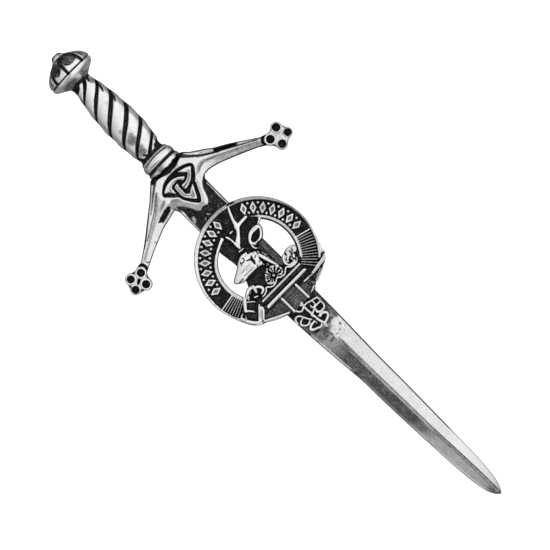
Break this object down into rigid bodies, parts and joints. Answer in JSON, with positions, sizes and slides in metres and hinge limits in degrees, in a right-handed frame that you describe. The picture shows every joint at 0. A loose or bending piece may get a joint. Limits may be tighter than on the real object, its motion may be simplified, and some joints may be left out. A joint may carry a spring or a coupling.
{
  "type": "kilt pin",
  "caption": "Cast sword kilt pin with a twisted grip, arms that lean to the blade, a strap and buckle crest badge with a stag's head, and a closed pin fitting on its flat back.",
  "frame": {"origin": "middle of the box's bottom face: the part lies face up and its pin fitting stands on z = 0", "axes": "+X along the sword from the pommel to the blade's point, +Y across the guard, +Z out of the front"},
  "size_m": [0.105, 0.0384, 0.0109],
  "materials": {
    "pewter": "polished pewter with black oxide left in the recesses",
    "badge_pewter": "antiqued pewter, bright on the raised lines and black between them",
    "pin_steel": "plain nickelled steel"
  },
  "bodies": {
    "root": {"sword": "pewter", "crest_badge": "badge_pewter", "brooch_pin": "pin_steel"}
  },
  "joints": []
}
